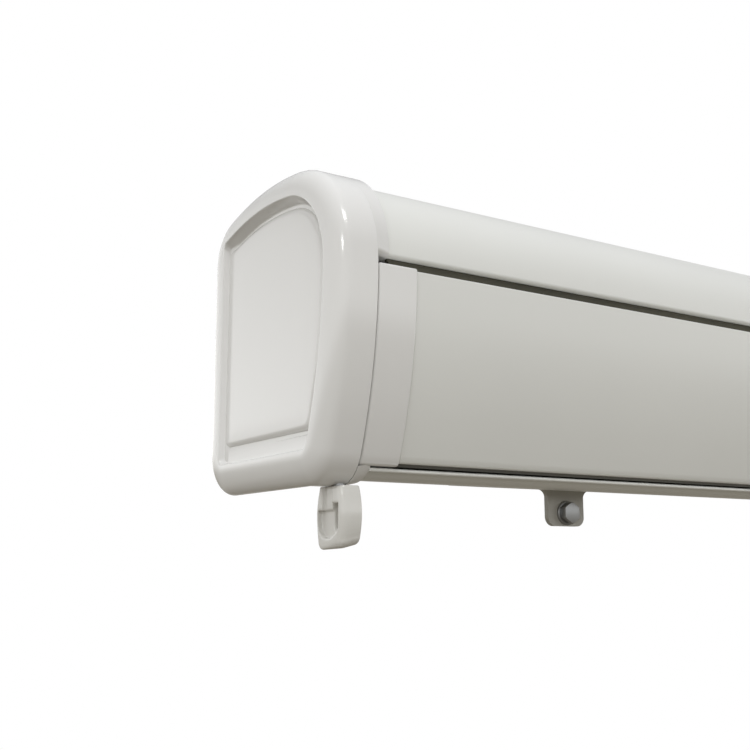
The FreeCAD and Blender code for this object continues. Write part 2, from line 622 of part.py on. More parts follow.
def arms():
    half = size("armHeight") / 2
    upperLow, upperHigh = size("upperArmZ") - half, size("upperArmZ") + half
    foreLow, foreHigh = size("foreArmZ") - half, size("foreArmZ") + half
    running = f"{cell('pinRadius')} + {cell('pinGap')}"
    ear, gap = 4.0, 0.4
    for name, side in SIDES:
        shoulder, wrist = joint_spot("shoulderY", side), joint_spot("wristY", side)
        upper = arm_place("shoulderY", side, "upperArmZ")
        fore = arm_place("wristY", side, "foreArmZ")
        arm(f"upper_arm_{name}", f"shoulder_knuckle_{name}", f"upper_elbow_{name}", upper, running)
        # the right wrist is the linkage's open pivot, so its hole is larger
        arm(f"forearm_{name}", f"wrist_knuckle_{name}", f"fore_elbow_{name}", fore,
            running if side < 0 else f"{cell('pinRadius')} + 0.4")
        elbow = upper.multVec(V(size("armLength"), 0, 0))
        pin(f"elbow_pin_{name}", elbow, upperLow, foreHigh + gap)
        backY = -(size("shellInset") + size("shellWall"))
        reach = shoulder.y - 12
        root = shoulder.y + size("knuckleRadius") + 1.4
        # the lower ear is cut back above the climbing floor
        profile = polygon((root + 11, upperLow - gap - ear), (reach, upperLow - gap - ear),
                          (reach, upperLow - gap), (root, upperLow - gap), (root, upperHigh + gap),
                          (reach, upperHigh + gap), (reach, upperHigh + gap + ear),
                          (backY, upperHigh + gap + ear), (backY, upperLow))
        solid_body(f"shoulder_bracket_{name}", [
            ("Pad", "YZ_Plane", [profile], 34.0, 0),
            ("Pocket", "XY_Plane", [(0, shoulder.y, cell("pinRadius"))], 160.0, 0),
        ], FreeCAD.Placement(V(shoulder.x, 0, 0), FreeCAD.Rotation()))
        pin(f"shoulder_pin_{name}", shoulder, upperLow - gap - ear, upperHigh + gap + ear)
        railBack = -size("railDepthBack")
        out = wrist.y + 11
        inner = railBack + 2.0
        profile = polygon((railBack, foreLow - gap - ear), (out, foreLow - gap - ear),
                          (out, foreLow - gap), (inner, foreLow - gap), (inner, foreHigh + gap),
                          (out, foreHigh + gap), (out, foreHigh + gap + ear),
                          (railBack, foreHigh + gap + ear))
        solid_body(f"wrist_bracket_{name}", [
            ("Pad", "YZ_Plane", [profile], 34.0, 0),
            ("Pocket", "XY_Plane", [(0, wrist.y, cell("pinRadius"))], 200.0, 0),
        ], FreeCAD.Placement(V(wrist.x, 0, 0), FreeCAD.Rotation()))
        pin(f"wrist_pin_{name}", wrist, foreLow - gap - ear, foreHigh + gap + ear)


# ---------------------------------------------------------------- wall brackets
def brackets():
    """Each bracket: a plate on the wall, a foot under the case and a lug with a clamp bolt at its front."""
    width, lug, thick = size("bracketWidth"), size("lugWidth"), size("plateThick")
    lugY, drop, lugThick = size("lugY"), size("lugDrop"), size("lugThick")
    lugMiddle = -lugY - lugThick / 2
    base, top, wide = 14.0, 128.0, lug / 2 + 4.2
    half, middle, apart = width / 2, size("holeMiddle"), size("holeSpacing") / 2
    bolts = []

    def foot_line(gap):
        """The foot's edge, the given distance under the case, from the wall plate to the lug."""
        return (thick / 2, under_height(0) - gap), (lugY, under_height(lugY) - gap)

    footHigh, footLow = foot_line(0.2), foot_line(0.2 + size("footThick"))
    profile = polygon(footHigh[0], footHigh[1], footLow[1], footLow[0])
    for name, side in SIDES:
        x = side * size("bracketX")
        solid_body(f"wall_bracket_{name}", [
            ("Pad", "XZ_Plane", [polygon((-half, base), (half, base), (half, top), (-half, top))],
             cell("plateThick"), -thick / 2),
            ("Pad", "YZ_Plane", [profile], 2 * wide, 0),
            ("Pad", "XZ_Plane", [lug_outline(lug / 2, wide, -drop, 7.5)], cell("lugThick"), lugMiddle),
            ("Pocket", "XZ_Plane", [(0, middle + apart, cell("holeRadius")),
                                    (0, middle - apart, cell("holeRadius"))], 30.0, 0),
            ("Pocket", "XZ_Plane", [(0, size("boltZ"), 3.3)], 12.0, lugMiddle),
        ], FreeCAD.Placement(V(x, 0, 0), FreeCAD.Rotation()))
        spot = V(x, lugY, size("boltZ"))
        head = doc.addObject("Part::Prism", f"hex_{name}")
        head.Polygon = 6
        head.setExpression("Circumradius", f"{cell('hexFlats')} / sqrt(3)")
        head.setExpression("Height", cell("hexHeight"))
        upright = FreeCAD.Rotation(V(1, 0, 0), -90).multiply(FreeCAD.Rotation(V(0, 0, 1), 30))
        head.Placement = FreeCAD.Placement(spot - V(0, size("hexHeight"), 0), upright)
        flange = rod(f"flange_{name}", (spot.x, spot.y - 1.2, spot.z), cell("flangeRadius"), 1.2, "Y")
        shank = rod(f"shank_{name}", (spot.x, spot.y - 1, spot.z), 2.95, 11, "Y")
        bolts.append(fuse(f"bolt_{name}", head, flange, shank))
        jawBack = lugY + lugThick + 5
        jaw = box(f"jaw_{name}", (x - 5.5, lugY + lugThick, -12), (x + 5.5, jawBack, 3))
        thread = rod(f"jaw_hole_{name}", (spot.x, lugY, spot.z), 2.95, 30, "Y")
        keep(cut(f"jaw_cut_{name}", jaw, thread), f"clamp_jaw_{name}")
    keep(group("clamp_bolts_group", *bolts), "clamp_bolts")


def hem():
    """The bar sewn into the cloth's front hem, resting behind the front rail's top edge."""
    y, z = -size("railDepthBack") + 3.4, size("railTop") - 6
    keep(rod("hem_rod", (-size("shoulderX"), y, z), 3.0, 2 * size("shoulderX"), "X"), "hem_bar")


shell_and_floor()
for sideName, sideSign in SIDES:
    end_frame(sideName, sideSign)
    end_cap(sideName, sideSign)
cap_screws()
front_rail()
lip_seal()
roller()
drive()
crank_eye()
arms()
brackets()
hem()

# the row's origin: on the wall, in the middle of the wall holes
toRow = FreeCAD.Placement(V(0, -size("plateThick"), -size("holeMiddle")), FreeCAD.Rotation())
doc.recompute()
for obj in subParts.values():
    obj.Placement = toRow.multiply(obj.Placement)
doc.recompute()

for obj in doc.Objects:
    if "Invalid" in obj.State or "Error" in obj.State:
        raise RuntimeError(f"{obj.Label}: {obj.State}")
os.makedirs("parts", exist_ok=True)
for label, obj in subParts.items():
    if obj.Shape.isNull() or not obj.Shape.isValid():
        raise RuntimeError(f"{label}: not a valid shape")
    obj.Shape.exportStep(f"parts/{label}.step")
print(len(subParts), "sub-parts")
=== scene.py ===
import bpy
import bmesh
import json
import math
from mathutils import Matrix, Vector
from mathutils.kdtree import KDTree

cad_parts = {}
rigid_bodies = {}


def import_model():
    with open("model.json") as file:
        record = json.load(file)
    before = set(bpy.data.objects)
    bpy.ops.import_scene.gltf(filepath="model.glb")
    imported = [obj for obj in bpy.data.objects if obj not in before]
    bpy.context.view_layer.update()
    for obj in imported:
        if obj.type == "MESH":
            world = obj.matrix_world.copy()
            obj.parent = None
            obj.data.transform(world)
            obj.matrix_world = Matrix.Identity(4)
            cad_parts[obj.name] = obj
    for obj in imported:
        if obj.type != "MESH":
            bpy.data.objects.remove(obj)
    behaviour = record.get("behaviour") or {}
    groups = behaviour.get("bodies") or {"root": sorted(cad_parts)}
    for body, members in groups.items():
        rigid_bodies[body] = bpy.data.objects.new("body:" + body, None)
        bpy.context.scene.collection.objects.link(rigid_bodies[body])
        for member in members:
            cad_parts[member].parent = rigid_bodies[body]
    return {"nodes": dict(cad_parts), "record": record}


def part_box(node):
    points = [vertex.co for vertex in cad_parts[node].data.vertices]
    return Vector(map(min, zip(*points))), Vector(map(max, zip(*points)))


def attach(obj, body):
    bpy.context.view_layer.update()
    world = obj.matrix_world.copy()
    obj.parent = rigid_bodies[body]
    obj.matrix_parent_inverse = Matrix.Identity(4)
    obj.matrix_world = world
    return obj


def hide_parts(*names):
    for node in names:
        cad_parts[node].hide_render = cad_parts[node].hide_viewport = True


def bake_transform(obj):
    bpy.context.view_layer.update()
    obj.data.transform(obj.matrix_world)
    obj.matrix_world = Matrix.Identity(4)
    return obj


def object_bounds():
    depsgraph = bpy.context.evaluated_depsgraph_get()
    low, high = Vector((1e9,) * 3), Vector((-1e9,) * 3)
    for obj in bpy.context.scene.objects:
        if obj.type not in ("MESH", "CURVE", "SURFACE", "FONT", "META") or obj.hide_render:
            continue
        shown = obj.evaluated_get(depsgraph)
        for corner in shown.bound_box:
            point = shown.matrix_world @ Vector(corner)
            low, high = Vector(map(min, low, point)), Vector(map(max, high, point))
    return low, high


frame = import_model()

cadBox = [list(corner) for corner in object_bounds()]
nodes = frame["nodes"]

# stage, light and camera
stageLook = {
    "floorDrop": 2.4,  # the awning hangs this far above the floor, in metres
    "floorSize": 14.0,
    "floorSeen": (0.96, 0.955, 0.94),
    "floorBounce": (0.22, 0.20, 0.165),
    "skyTop": (1.00, 1.01, 1.03),
    "skyMid": (0.42, 0.42, 0.42),
    "skyBand": (1.72, 1.73, 1.72),  # the bright band above the horizon
    "skyLow": (0.38, 0.36, 0.32),
    "bandAt": 0.12, "midAt": 0.5,  # how far up they are, as the sine of the angle
}
lamps = {  # soft boxes that aim at the left end; places and sizes in metres, power in watts
    "keyLamp": {"place": (-1.5, -1.4, 2.1), "size": (0.9, 0.5), "power": 12},
    "capLamp": {"place": (-2.1, -0.75, 0.68), "size": (0.25, 0.22), "power": 1.8},
}
cameraLook = {
    "beside": 0.200,  # camera to the left of the end cap's face
    "before": 0.490,  # in front of the wall
    "below": 0.031,  # under the end cap
    "tiltUp": 10.41,
    "turnRight": 32.1,
    "lens": 48.0,
}


def makeCamera():
    capLow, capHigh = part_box("end_cap_left")
    place = (capLow.x - cameraLook["beside"], -cameraLook["before"], capLow.z - cameraLook["below"])
    bpy.ops.object.camera_add(location=place)
    camera = bpy.context.object
    tilt, turn = math.radians(90 + cameraLook["tiltUp"]), math.radians(cameraLook["turnRight"])
    camera.rotation_euler = (tilt, 0, -turn)
    camera.data.lens = cameraLook["lens"]
    camera.data.sensor_width = 36
    camera.data.clip_start = 0.01
    bpy.context.scene.camera = camera


def makeFloor():
    bpy.ops.mesh.primitive_plane_add(size=stageLook["floorSize"], location=(0, 0, -stageLook["floorDrop"]))
    floor = bpy.context.object
    floor.name = "floor"
    # it is pale where it is seen, and dimmer in the light that it throws back
    look = bpy.data.materials.new("paleFloor")
    look.use_nodes = True
    tree = look.node_tree
    tree.nodes.clear()
    out = tree.nodes.new("ShaderNodeOutputMaterial")
    mix = tree.nodes.new("ShaderNodeMixShader")
    ray = tree.nodes.new("ShaderNodeLightPath")
    seen = tree.nodes.new("ShaderNodeEmission")
    bounce = tree.nodes.new("ShaderNodeEmission")
    seen.inputs["Color"].default_value = (*stageLook["floorSeen"], 1)
    bounce.inputs["Color"].default_value = (*stageLook["floorBounce"], 1)
    tree.links.new(ray.outputs["Is Camera Ray"], mix.inputs[0])
    tree.links.new(bounce.outputs[0], mix.inputs[1])
    tree.links.new(seen.outputs[0], mix.inputs[2])
    tree.links.new(mix.outputs[0], out.inputs[0])
    floor.data.materials.append(look)


def makeSky():
    world = bpy.data.worlds.new("studio")
    bpy.context.scene.world = world
    world.use_nodes = True
    tree = world.node_tree
    tree.nodes.clear()
    out = tree.nodes.new("ShaderNodeOutputWorld")
    back = tree.nodes.new("ShaderNodeBackground")
    white = tree.nodes.new("ShaderNodeBackground")
    mix = tree.nodes.new("ShaderNodeMixShader")
    ray = tree.nodes.new("ShaderNodeLightPath")
    coords = tree.nodes.new("ShaderNodeTexCoord")
    split = tree.nodes.new("ShaderNodeSeparateXYZ")
    ramp = tree.nodes.new("ShaderNodeValToRGB")
    ramp.color_ramp.elements[0].color = (*stageLook["skyLow"], 1)
    ramp.color_ramp.elements[1].color = (*stageLook["skyTop"], 1)
    for height, name in (("bandAt", "skyBand"), ("midAt", "skyMid")):
        ramp.color_ramp.elements.new(stageLook[height]).color = (*stageLook[name], 1)
    white.inputs[0].default_value = (1, 1, 1, 1)
    tree.links.new(coords.outputs["Generated"], split.inputs[0])
    tree.links.new(split.outputs["Z"], ramp.inputs[0])
    tree.links.new(ramp.outputs[0], back.inputs[0])
    tree.links.new(ray.outputs["Is Camera Ray"], mix.inputs[0])
    tree.links.new(back.outputs[0], mix.inputs[1])
    tree.links.new(white.outputs[0], mix.inputs[2])
    tree.links.new(mix.outputs[0], out.inputs[0])


def makeSoftbox(name, place, aim, size, power):
    bpy.ops.object.light_add(type="AREA", location=place)
    light = bpy.context.object
    light.name = name
    light.data.shape = "RECTANGLE"
    light.data.size, light.data.size_y = size
    light.data.energy = power
    light.rotation_euler = (Vector(aim) - Vector(place)).to_track_quat("-Z", "Y").to_euler()


bpy.context.scene.view_settings.view_transform = "Standard"
makeCamera()
makeFloor()
makeSky()
leftEnd = (cadBox[0][0], -0.08, 0.0)
for lampName, lamp in lamps.items():
    makeSoftbox(lampName, lamp["place"], leftEnd, lamp["size"], lamp["power"])
print("stage, light and camera are set")

# finishes
finishes = {
    "case_coat": {"kind": "coat", "colour": (0.79, 0.795, 0.765), "rough": 0.34},
    "frame_coat": {"kind": "plastic", "colour": (0.80, 0.795, 0.78), "rough": 0.16},
    "arm_coat": {"kind": "coat", "colour": (0.78, 0.785, 0.76), "rough": 0.36},
    "cast_coat": {"kind": "coat", "colour": (0.75, 0.755, 0.73), "rough": 0.42},
    # the bracket's coat is made dark grey: painted shade for the shadow under the case, over a paler real
    # coat
    "bracket_coat": {"kind": "coat", "colour": (0.40, 0.39, 0.355), "rough": 0.32},
    "cap_plastic": {"kind": "plastic", "colour": (0.80, 0.795, 0.78), "rough": 0.16},
    # the eye's plastic is greyer than the caps': painted shade for the shadow under the cap, on a white
    # plastic
    "eye_plastic": {"kind": "plastic", "colour": (0.70, 0.69, 0.655), "rough": 0.2},
    "bearing_plastic": {"kind": "plastic", "colour": (0.03, 0.03, 0.032), "rough": 0.45},
    # the bolt's steel is darkened: partly the steel's own colour, partly painted shade for the shadow under
    # the case
    "bolt_steel": {"kind": "metal", "colour": (0.33, 0.335, 0.34), "rough": 0.34},
    "pin_steel": {"kind": "metal", "colour": (0.55, 0.56, 0.58), "rough": 0.25},
    "roller_steel": {"kind": "metal", "colour": (0.58, 0.60, 0.62), "rough": 0.42},
    "plug_metal": {"kind": "metal", "colour": (0.62, 0.63, 0.64), "rough": 0.5},
    "hem_metal": {"kind": "metal", "colour": (0.70, 0.71, 0.72), "rough": 0.38},
    "gear_brass": {"kind": "metal", "colour": (0.72, 0.52, 0.22), "rough": 0.3},
    # brush_fibre is dark olive: partly the fibre's own colour, partly painted shade for the shadow in the
    # gap under the lip
    "brush_fibre": {"kind": "rubber", "colour": (0.085, 0.082, 0.06), "rough": 0.8},
    "seal_rubber": {"kind": "rubber", "colour": (0.07, 0.067, 0.055), "rough": 0.7},
    "cloth": {"kind": "cloth", "colour": (0.30, 0.33, 0.36), "rough": 0.85},
}
grains = {  # how coarse, how deep in metres, how much the colour and the gloss vary, how much clear coat
    "coat": {"scale": 1500, "depth": 0.00002, "tint": 0.015, "gloss": 0.05, "metal": 0.0, "clear": 0.25},
    "plastic": {"scale": 240, "depth": 0.000015, "tint": 0.01, "gloss": 0.03, "metal": 0.0, "clear": 0.5},
    "metal": {"scale": 420, "depth": 0.00002, "tint": 0.08, "gloss": 0.12, "metal": 1.0, "clear": 0.0},
    "rubber": {"scale": 900, "depth": 0.00005, "tint": 0.25, "gloss": 0.08, "metal": 0.0, "clear": 0.0},
    "cloth": {"scale": 1400, "depth": 0.00008, "tint": 0.03, "gloss": 0.05, "metal": 0.0, "clear": 0.0},
}
textureLook = {
    "fineDetail": 3, "broadScale": 9, "broadDetail": 4,
    "toneLow": 0.3, "toneHigh": 0.7,  # where on the broad noise the two tones lie
    "coatRough": 0.6,  # a clear coat's roughness, as a share of the finish's
}


def addNode(tree, kind, **values):
    made = tree.nodes.new(kind)
    for key, value in values.items():
        setattr(made, key, value)
    return made


def makeFinish(name):
    look, grain = finishes[name], grains[finishes[name]["kind"]]
    material = bpy.data.materials.new(name)
    material.use_nodes = True
    tree = material.node_tree
    shader = tree.nodes["Principled BSDF"]
    shader.inputs["Metallic"].default_value = grain["metal"]
    shader.inputs["Coat Weight"].default_value = grain["clear"]
    shader.inputs["Coat Roughness"].default_value = look["rough"] * textureLook["coatRough"]
    coords = addNode(tree, "ShaderNodeTexCoord")
    fine = addNode(tree, "ShaderNodeTexNoise")
    fine.inputs["Scale"].default_value = grain["scale"]
    fine.inputs["Detail"].default_value = textureLook["fineDetail"]
    broad = addNode(tree, "ShaderNodeTexNoise")
    broad.inputs["Scale"].default_value = textureLook["broadScale"]
    broad.inputs["Detail"].default_value = textureLook["broadDetail"]
    for texture in (fine, broad):
        tree.links.new(coords.outputs["Object"], texture.inputs["Vector"])
    tone = addNode(tree, "ShaderNodeValToRGB")
    low = [channel * (1 - grain["tint"]) for channel in look["colour"]]
    high = [min(1.0, channel * (1 + grain["tint"])) for channel in look["colour"]]
    for stop, place, colour in zip(tone.color_ramp.elements, ("toneLow", "toneHigh"), (low, high)):
        stop.position = textureLook[place]
        stop.color = (*colour, 1)
    tree.links.new(broad.outputs["Fac"], tone.inputs[0])
    tree.links.new(tone.outputs[0], shader.inputs["Base Color"])
    gloss = addNode(tree, "ShaderNodeMapRange")
    gloss.inputs["To Min"].default_value = look["rough"] - grain["gloss"]
    gloss.inputs["To Max"].default_value = look["rough"] + grain["gloss"]
    tree.links.new(broad.outputs["Fac"], gloss.inputs["Value"])
    tree.links.new(gloss.outputs["Result"], shader.inputs["Roughness"])
    bump = addNode(tree, "ShaderNodeBump")
    bump.inputs["Distance"].default_value = grain["depth"]
    tree.links.new(fine.outputs["Fac"], bump.inputs["Height"])
    tree.links.new(bump.outputs[0], shader.inputs["Normal"])
    return material


looks = {name: makeFinish(name) for name in finishes}
slotOf = {part["node"]: part["material_slot"] for part in frame["record"]["subparts"]}
for nodeName, node in nodes.items():
    node.data.materials.clear()
    node.data.materials.append(looks[slotOf[nodeName]])
print("finishes are on the CAD nodes")


# tools for modelling
def atRest(*millimetres):
    return Vector(millimetres) / 1000


def deselectAll():
    if bpy.context.object and bpy.context.object.mode != "OBJECT":
        bpy.ops.object.mode_set(mode="OBJECT")
    bpy.ops.object.select_all(action="DESELECT")


def makeActive(piece):
    deselectAll()
    piece.select_set(True)
    bpy.context.view_layer.objects.active = piece


def startEdit(piece, everything=False):
    makeActive(piece)
    bpy.ops.object.mode_set(mode="EDIT")
    bpy.ops.mesh.select_all(action="SELECT" if everything else "DESELECT")


def endEdit():
    bpy.ops.object.mode_set(mode="OBJECT")


def pickFaces(piece, test):
    bpy.ops.mesh.select_mode(type="FACE")
    bpy.ops.mesh.select_all(action="DESELECT")
    mesh = bmesh.from_edit_mesh(piece.data)
    for face in mesh.faces:
        face.select_set(bool(test(face.calc_center_median(), face.normal)))
    bmesh.update_edit_mesh(piece.data)


def pickEdges(piece, test):
    bpy.ops.mesh.select_mode(type="EDGE")
    bpy.ops.mesh.select_all(action="DESELECT")
    mesh = bmesh.from_edit_mesh(piece.data)
    for edge in mesh.edges:
        edge.select_set(bool(test(edge.verts[0].co, edge.verts[1].co)))
    bmesh.update_edit_mesh(piece.data)


def applyModifier(piece, kind, **settings):
    modifier = piece.modifiers.new(kind.lower(), kind)
    for key, value in settings.items():
        setattr(modifier, key, value)
    makeActive(piece)
    bpy.ops.object.modifier_apply(modifier=modifier.name)


def settle(piece, angle=35):
    makeActive(piece)
    bpy.ops.object.transform_apply(location=True, rotation=True, scale=True)
    bpy.ops.object.shade_smooth_by_angle(angle=math.radians(angle))


def closeNormals(piece):
    startEdit(piece, everything=True)
    bpy.ops.mesh.remove_doubles(threshold=0.000001)
    bpy.ops.mesh.normals_make_consistent(inside=False)
    endEdit()


def makeBlock(name, low, high):
    low, high = atRest(*low), atRest(*high)
    bpy.ops.mesh.primitive_cube_add(size=1, location=(low + high) / 2, scale=high - low)
    piece = bpy.context.object
    piece.name = name
    bpy.ops.object.transform_apply(location=True, rotation=True, scale=True)
    return piece


def makeRod(name, middle, radius, length, sides):
    # it lies along Y
    bpy.ops.mesh.primitive_cylinder_add(vertices=sides, radius=radius / 1000, depth=length / 1000,
                                        location=atRest(*middle), rotation=(math.pi / 2, 0, 0))
    piece = bpy.context.object
    piece.name = name
    bpy.ops.object.transform_apply(location=True, rotation=True, scale=True)
    return piece


def makeRings(name, rings):
    # a ring is a list of points; each next ring is extruded from the last and set in place, and the
    # first and the last one are closed
    deselectAll()
    bpy.ops.mesh.primitive_circle_add(vertices=len(rings[0]), radius=1, fill_type="NOTHING")
    piece = bpy.context.object
    piece.name = name
    for vertex, point in zip(piece.data.vertices, rings[0]):
        vertex.co = Vector(point)
    startEdit(piece, everything=True)
    bpy.ops.mesh.select_mode(type="VERT")
    for last, ring in zip(rings, rings[1:]):
        bpy.ops.mesh.extrude_region_move()
        mesh = bmesh.from_edit_mesh(piece.data)
        picked = [vertex for vertex in mesh.verts if vertex.select]
        tree = KDTree(len(last))
        for i, point in enumerate(last):
            tree.insert(Vector(point), i)
        tree.balance()
        spots = [tree.find(vertex.co)[1] for vertex in picked]
        for vertex, i in zip(picked, spots):
            vertex.co = Vector(ring[i])
        bmesh.update_edit_mesh(piece.data)
    bpy.ops.mesh.edge_face_add()
    mesh = bmesh.from_edit_mesh(piece.data)
    openEdges = [edge for edge in mesh.edges if edge.is_boundary]
    bpy.ops.mesh.select_all(action="DESELECT")
    for edge in openEdges:
        edge.select_set(True)
    bmesh.update_edit_mesh(piece.data)
    bpy.ops.mesh.edge_face_add()
    endEdit()
    closeNormals(piece)
    return piece


def makePlate(name, outline, x0, x1):
    # outline is in (y, z), in millimetres
    return makeRings(name, [[atRest(x, y, z) for y, z in outline] for x in (x0, x1)])


def combine(piece, operation, other):
    applyModifier(piece, "BOOLEAN", operation=operation, solver="EXACT", object=other)
    bpy.data.objects.remove(other, do_unlink=True)


def quarterTurns(steps, first=0):
    # angles from 0 to 90 degrees, both included unless the first steps are left out
    return [math.pi / 2 * i / steps for i in range(first, steps + 1)]


def joinPieces(name, pieces):
    deselectAll()
    for piece in pieces:
        piece.select_set(True)
    bpy.context.view_layer.objects.active = pieces[0]
    bpy.ops.object.join()
    pieces[0].name = name
    return pieces[0]


def dress(piece, body, *replaced):
    finish = slotOf[replaced[0]]
    piece.data.materials.clear()
    piece.data.materials.append(looks[finish])
    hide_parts(*replaced)
    if body:
        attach(piece, body)


# the case outline, in millimetres from the back of the case and the bottom of its caps
outlineLook = {
    "crown": 185, "crownY": -62, "height": 149.4,
    "front": 248, "depth": 136, "frontZ": 95,
    "rearTop": 24, "rearLow": 22, "frontLow": 19,
    "points": 14,  # on each arc
    "inside": 0.02,  # how far, in steps, the outer points stay from an arc's ends, so that none meet
}
wallGap, holeMiddle = 6, 75  # from the case's back to the wall, and from its bottom to the origin


def caseOutline(inset, rear=None, low=None, corner=5):
    look = outlineLook
    crownZ = look["height"] - look["crown"]
    frontY = look["front"] - look["depth"]
    dy, dz = look["depth"] + look["crownY"], look["frontZ"] - crownZ
    shoulder = (look["crown"] ** 2 - dy ** 2 - dz ** 2) / (2 * (look["crown"] - dy))
    backY = -(inset if rear is None else rear)
    lowZ = inset if low is None else low
    rearTop = look["rearTop"] - inset if rear is None else corner
    rearLow = look["rearLow"] - inset if low is None else corner
    frontLow = look["frontLow"] - inset if low is None else corner + 1
    crownR, frontR = look["crown"] - inset, look["front"] - inset
    rearTopY = backY - rearTop
    rearTopZ = crownZ + math.sqrt((crownR - rearTop) ** 2 - (rearTopY - look["crownY"]) ** 2)
    frontLowZ = lowZ + frontLow
    frontLowY = frontY - math.sqrt((frontR - frontLow) ** 2 - (frontLowZ - look["frontZ"]) ** 2)
    shoulderY = shoulder - look["depth"]
    aRear = math.atan2(rearTopZ - crownZ, rearTopY - look["crownY"])
    aShoulder = math.atan2(look["frontZ"] - crownZ, shoulderY - look["crownY"])
    aLow = math.atan2(frontLowZ - look["frontZ"], frontLowY - frontY) % math.tau
    arcs = [
        (rearTopY, rearTopZ, rearTop, 0, aRear),
        (look["crownY"], crownZ, crownR, aRear, aShoulder),
        (shoulderY, look["frontZ"], shoulder - inset, aShoulder, math.pi),
        (frontY, look["frontZ"], frontR, math.pi, aLow),
        (frontLowY, frontLowZ, frontLow, aLow, 1.5 * math.pi),
        (backY - rearLow, lowZ + rearLow, rearLow, 1.5 * math.pi, math.tau),
    ]
    points = []
    for y, z, radius, start, end in arcs:
        for i in range(look["points"]):
            share = (i + look["inside"]) / (look["points"] - 1 + 2 * look["inside"])
            turn = start + (end - start) * share
            points.append((y + radius * math.cos(turn) - wallGap, z + radius * math.sin(turn) - holeMiddle))
    return points


# end caps
capLook = {
    "face": 950, "back": 930,  # along X, from the middle
    "rimDepth": 7.6, "rimWidth": 12.6,  # the soft rim, a quarter of an ellipse
    "flat": (13.5, 17, 15.1), "corner": 3.5,  # rim width at top and front, at the back, at the bottom
    "recess": 5.2, "lipRound": 0.8,
    "wallLean": 2.1, "wallFoot": 1.3, "wallShare": (1, 0.6, 0.3),  # how much of the lean each side has
    "panelEdge": (4.4, 2.2, 8.8), "panelRise": 2.3, "panelRound": (3.4, 1.2, 2.4), "panelFlat": 12,
    "rearFade": 6,  # the groove runs out towards the back
    "ramp": ((15.1, 3.4), (21.8, 4.7), (22.3, 5.2)),  # height, and depth below the face
    "rampLift": 0.14, "rampUnder": 0.4, "rampInset": 0.7, "rampSpan": (-150, -5),
    "wall": 5.8, "floorZ": 20.5, "hollow": 8.4,  # the space behind the face, and where it starts
    "underFront": 100, "underLow": 8.1, "underHigh": 17.0, "skirt": 8,
    "pastWall": 10, "pastFloor": -30,  # how far the cut for the underside goes beyond the cap
}


def makeWedge(name, x0, x1):
    # the space under the raised underside
    look = capLook
    climb = (look["underHigh"] - look["underLow"]) / look["underFront"]
    frontY, rearY = -look["underFront"] - wallGap, look["pastWall"] - wallGap
    frontHigh = look["underLow"] - holeMiddle
    rearHigh = look["underHigh"] + look["pastWall"] * climb - holeMiddle
    beneath = look["pastFloor"] - holeMiddle
    corners = [(frontY, beneath), (rearY, beneath), (rearY, rearHigh), (frontY, frontHigh)]
    return makePlate(name, corners, x0, x1)


def makeRamp(name):
    # the sloping strip under the raised panel
    look = capLook
    (low, shallow), (high, deep), (foot, bottom) = look["ramp"]
    top, rear, _ = look["flat"]
    face = -look["face"]
    under, start = bottom + look["rampUnder"], shallow - look["rampLift"]
    profile = [(under, low - 1), (start, low - 1), (deep, high), (bottom, foot), (under, foot)]
    rings = [[atRest(face + x, y, z - holeMiddle) for x, z in profile] for y in look["rampSpan"]]
    ramp = makeRings(name, rings)
    inset = look["rampInset"]
    within = makePlate(name + "Limit", caseOutline(top - inset, rear - inset, low - 1, look["corner"]),
                       face + shallow - 1, face + bottom + 1)
    combine(ramp, "INTERSECT", within)
    return ramp


def makeEndCap(name, side):
    look = capLook
    face, back = -look["face"], -look["back"]
    rimStart = face + look["rimDepth"]
    wall, floorZ = look["wall"], look["floorZ"]
    panelDepth = look["recess"] - look["panelRise"]
    hollow = caseOutline(wall, wall, floorZ)
    starts = [(face + look["hollow"], hollow), (back, hollow),
              (back, caseOutline(0)), (rimStart, caseOutline(0))]
    rings = [[atRest(x, y, z) for y, z in outline] for x, outline in starts]

    def recessRing(depth, *grow):
        edges = [edge + more for edge, more in zip(look["flat"], grow)]
        ring = []
        for y, z in caseOutline(*edges, look["corner"]):
            rear = min(max(1 + (y + wallGap + edges[1]) / look["rearFade"], 0), 1)
            ring.append(atRest(face + depth + (min(depth, panelDepth) - depth) * rear, y, z))
        rings.append(ring)

    for turn in quarterTurns(9, 1):
        x = rimStart - look["rimDepth"] * math.sin(turn)
        rings.append([atRest(x, y, z) for y, z in caseOutline(look["rimWidth"] * (1 - math.cos(turn)))])
    for turn in quarterTurns(4):
        grow = look["lipRound"] * (math.sin(turn) - 1)
        recessRing(look["lipRound"] * (1 - math.cos(turn)), grow, grow, grow)
    for turn in quarterTurns(5):
        grow = look["wallLean"] + look["wallFoot"] * (1 - math.cos(turn))
        depth = look["recess"] - look["wallFoot"] * (1 - math.sin(turn))
        recessRing(depth, *(share * grow for share in look["wallShare"]))
    for turn in quarterTurns(6):
        soft = 1 - math.cos(turn)
        spread = [edge + soft * width for edge, width in zip(look["panelEdge"], look["panelRound"])]
        recessRing(look["recess"] - look["panelRise"] * math.sin(turn), *spread)
    recessRing(panelDepth, *(edge + look["panelFlat"] for edge in look["panelEdge"]))
    cap = makeRings(name, rings)
    combine(cap, "UNION", makeRamp(name + "Ramp"))
    combine(cap, "DIFFERENCE", makeWedge("capWedge", face + look["skirt"], back + 2))
    if side == "right":
        makeActive(cap)
        bpy.ops.transform.mirror(constraint_axis=(True, False, False), center_override=(0, 0, 0))
        closeNormals(cap)
    settle(cap, 32)
    dress(cap, "case", f"end_cap_{side}")


makeEndCap("endCapLeft", "left")
makeEndCap("endCapRight", "right")
print("end caps are made")

